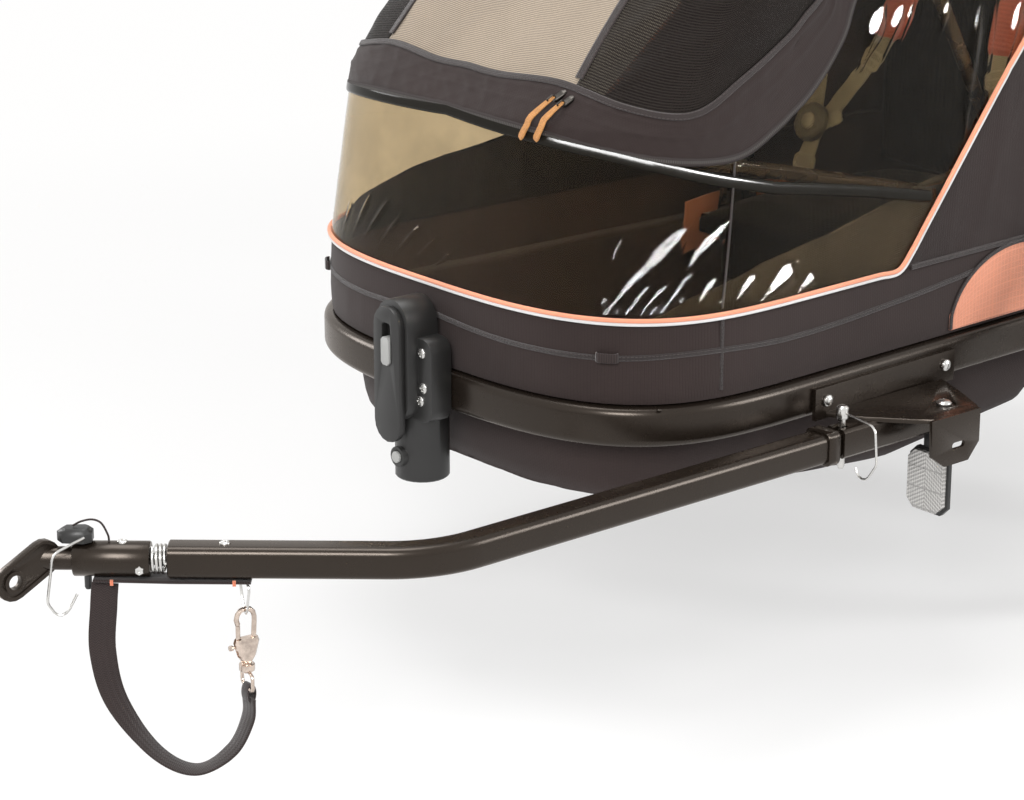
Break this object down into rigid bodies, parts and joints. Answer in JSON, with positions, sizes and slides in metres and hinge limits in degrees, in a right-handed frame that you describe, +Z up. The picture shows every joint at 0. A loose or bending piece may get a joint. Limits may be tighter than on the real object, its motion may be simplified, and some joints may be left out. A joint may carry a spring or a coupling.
{
  "type": "folding bicycle trailer",
  "caption": "Folding bicycle trailer for children: cloth cabin on a hoop frame, clear nose window, mesh door, large wheels and a bent tow arm with a sprung hitch.",
  "frame": {"origin": "on the ground under the middle of the trailer's length and width, tow arm and push bar included", "axes": "the trailer travels along -Y, its left side with the tow arm is +X, and +Z is up"},
  "size_m": [0.8372, 1.7046, 1.0093],
  "materials": {
    "frame": "semi-gloss black powder coat",
    "steel": "zinc plated",
    "hook": "warm nickel plate, cast",
    "plastic": "fine grain black",
    "grey": "satin grey",
    "cloth": "woven charcoal polyester",
    "salmon": "ripstop nylon",
    "clear": "clear soft vinyl",
    "mesh": "insect mesh in cloth borders",
    "web": "nylon webbing",
    "olive": "nylon webbing with brick pads",
    "seat": "padded polyester",
    "brick": "moulded",
    "rubber": "matt",
    "tyre": "matt tread",
    "alloy": "satin",
    "lens": "fluted",
    "foam": "closed-cell foam"
  },
  "bodies": {
    "frame": {"base_hoop": "frame", "axle_beam": "frame", "tub": "cloth", "side_panel_left": "salmon", "side_panel_right": "salmon", "front_window": "clear", "front_door": "mesh", "side_window_left": "clear", "side_window_right": "clear", "rear_cover": "cloth", "roof_cover": "cloth", "seat_base": "seat", "seat_back": "seat", "harness_left": "olive", "harness_right": "olive", "buckle_left": "plastic", "buckle_right": "plastic", "pivot_plate_left": "frame", "pivot_plate_right": "frame", "hinge_bracket": "frame", "reflector_base": "plastic", "reflector_lens": "lens", "bracket_bolt_front": "steel", "bracket_bolt_rear": "steel", "pivot_bolt": "steel", "receptacle_body": "plastic", "clamp_back": "plastic"},
    "nose_bow": {"nose_bow": "frame"},
    "main_bow": {"main_bow": "frame"},
    "roof_bow": {"roof_bow": "frame"},
    "push_bar": {"push_bar": "frame", "push_grip": "foam"},
    "axle_left": {"axle_left": "steel"},
    "axle_right": {"axle_right": "steel"},
    "wheel_left": {"wheel_left": "alloy", "tyre_left": "tyre"},
    "wheel_right": {"wheel_right": "alloy", "tyre_right": "tyre"},
    "hub_button_left": {"hub_button_left": "grey"},
    "hub_button_right": {"hub_button_right": "grey"},
    "buckle_button_left": {"buckle_button_left": "brick"},
    "buckle_button_right": {"buckle_button_right": "brick"},
    "tow_arm": {"tow_tube": "frame", "tow_strap_end": "web", "triangle_ring": "steel", "snap_hook": "hook", "safety_strap": "web", "flex_spring": "steel"},
    "hook_gate": {"hook_gate": "hook"},
    "lock_pin": {"lock_pin": "steel"},
    "lock_pin_ring": {"lock_pin_ring": "steel"},
    "flex_core": {"flex_core": "rubber"},
    "hitch": {"hitch_tube": "frame", "hitch_arm": "frame", "hitch_lanyard": "web"},
    "hitch_pin": {"hitch_pin": "plastic"},
    "hitch_pin_ring": {"hitch_pin_ring": "steel"},
    "receptacle_lever": {"receptacle_lever": "plastic"},
    "lever_catch": {"lever_catch": "grey"},
    "release_button": {"release_button": "grey"}
  },
  "joints": [
    {"name": "main_fold", "type": "hinge", "parent": "frame", "child": "main_bow", "pos_m": [0, 0.3865, 0.453], "axis": [1, 0, 0], "range_deg": [0, 105], "deforming": ["front_window", "front_door", "side_window_left", "side_window_right", "rear_cover", "roof_cover", "seat_back", "harness_left", "harness_right"]},
    {"name": "roof_fold", "type": "hinge", "parent": "frame", "child": "roof_bow", "pos_m": [0, 0.3865, 0.453], "axis": [1, 0, 0], "range_deg": [0, 56], "deforming": ["front_window", "front_door", "side_window_left", "side_window_right", "rear_cover", "roof_cover", "seat_back", "harness_left", "harness_right"]},
    {"name": "nose_fold", "type": "hinge", "parent": "frame", "child": "nose_bow", "pos_m": [0, 0.3865, 0.453], "axis": [1, 0, 0], "range_deg": [0, 13], "deforming": ["front_window", "front_door", "side_window_left", "side_window_right", "rear_cover", "roof_cover", "seat_back", "harness_left", "harness_right"]},
    {"name": "push_bar_tilt", "type": "hinge", "parent": "main_bow", "child": "push_bar", "pos_m": [0, 0.7215, 0.87], "axis": [1, 0, 0], "range_deg": [-95, 20]},
    {"name": "axle_left_pull", "type": "slide", "parent": "frame", "child": "axle_left", "axis": [1, 0, 0], "range_m": [0, 0.06]},
    {"name": "wheel_left_spin", "type": "hinge", "parent": "axle_left", "child": "wheel_left", "pos_m": [0.375, 0.5265, 0.254], "axis": [1, 0, 0], "continuous": true},
    {"name": "hub_button_left_press", "type": "slide", "parent": "axle_left", "child": "hub_button_left", "axis": [-1, 0, 0], "range_m": [0, 0.004], "stiffness_N_per_m": 1500},
    {"name": "buckle_button_left_press", "type": "slide", "parent": "frame", "child": "buckle_button_left", "axis": [0, 0.9063, -0.4226], "range_m": [0, 0.002], "stiffness_N_per_m": 1500},
    {"name": "axle_right_pull", "type": "slide", "parent": "frame", "child": "axle_right", "axis": [-1, 0, 0], "range_m": [0, 0.06]},
    {"name": "wheel_right_spin", "type": "hinge", "parent": "axle_right", "child": "wheel_right", "pos_m": [-0.375, 0.5265, 0.254], "axis": [1, 0, 0], "continuous": true},
    {"name": "hub_button_right_press", "type": "slide", "parent": "axle_right", "child": "hub_button_right", "axis": [1, 0, 0], "range_m": [0, 0.004], "stiffness_N_per_m": 1500},
    {"name": "buckle_button_right_press", "type": "slide", "parent": "frame", "child": "buckle_button_right", "axis": [0, 0.9063, -0.4226], "range_m": [0, 0.002], "stiffness_N_per_m": 1500},
    {"name": "tow_arm_pull", "type": "slide", "parent": "frame", "child": "tow_arm", "axis": [0, -1, 0], "range_m": [0, 0.14]},
    {"name": "lock_pin_lift", "type": "slide", "parent": "tow_arm", "child": "lock_pin", "axis": [0, 0, 1], "range_m": [0, 0.048]},
    {"name": "lock_pin_ring_swing", "type": "hinge", "parent": "lock_pin", "child": "lock_pin_ring", "pos_m": [0.337, 0.0055, 0.314], "axis": [-1, 0, 0], "range_deg": [0, 150]},
    {"name": "hook_gate_slide", "type": "slide", "parent": "tow_arm", "child": "hook_gate", "axis": [0, 0, -1], "range_m": [0, 0.007], "stiffness_N_per_m": 300},
    {"name": "flex_yaw", "type": "hinge", "parent": "tow_arm", "child": "flex_core", "pos_m": [0.17049, -0.71738, 0.284], "axis": [0, 0, 1], "range_deg": [-20, 20], "stiffness_Nm_per_rad": 25, "deforming": ["flex_spring", "tow_strap_end", "safety_strap"]},
    {"name": "flex_pitch", "type": "hinge", "parent": "flex_core", "child": "hitch", "pos_m": [0.17049, -0.71738, 0.284], "axis": [0.7536, -0.6574, 0], "range_deg": [-15, 15], "stiffness_Nm_per_rad": 40, "deforming": ["flex_spring", "tow_strap_end", "safety_strap"]},
    {"name": "hitch_pin_lift", "type": "slide", "parent": "hitch", "child": "hitch_pin", "axis": [0, 0, 1], "range_m": [0, 0.055], "deforming": ["hitch_lanyard"]},
    {"name": "hitch_pin_ring_swing", "type": "hinge", "parent": "hitch_pin", "child": "hitch_pin_ring", "pos_m": [0.13606, -0.77586, 0.3085], "axis": [-1, 0, 0], "range_deg": [0, 150]},
    {"name": "receptacle_lever_swing", "type": "hinge", "parent": "frame", "child": "receptacle_lever", "pos_m": [0, -0.318, 0.276], "axis": [1, 0, 0], "range_deg": [0, 60]},
    {"name": "lever_catch_slide", "type": "slide", "parent": "receptacle_lever", "child": "lever_catch", "axis": [0, 0, 1], "range_m": [0, 0.012]},
    {"name": "release_button_press", "type": "slide", "parent": "frame", "child": "release_button", "axis": [0, 1, 0], "range_m": [0, 0.004], "stiffness_N_per_m": 1500}
  ],
  "couplings": [
    {"joint": "roof_fold", "follows": "main_fold", "ratio": 0.524},
    {"joint": "nose_fold", "follows": "main_fold", "ratio": 0.119}
  ]
}
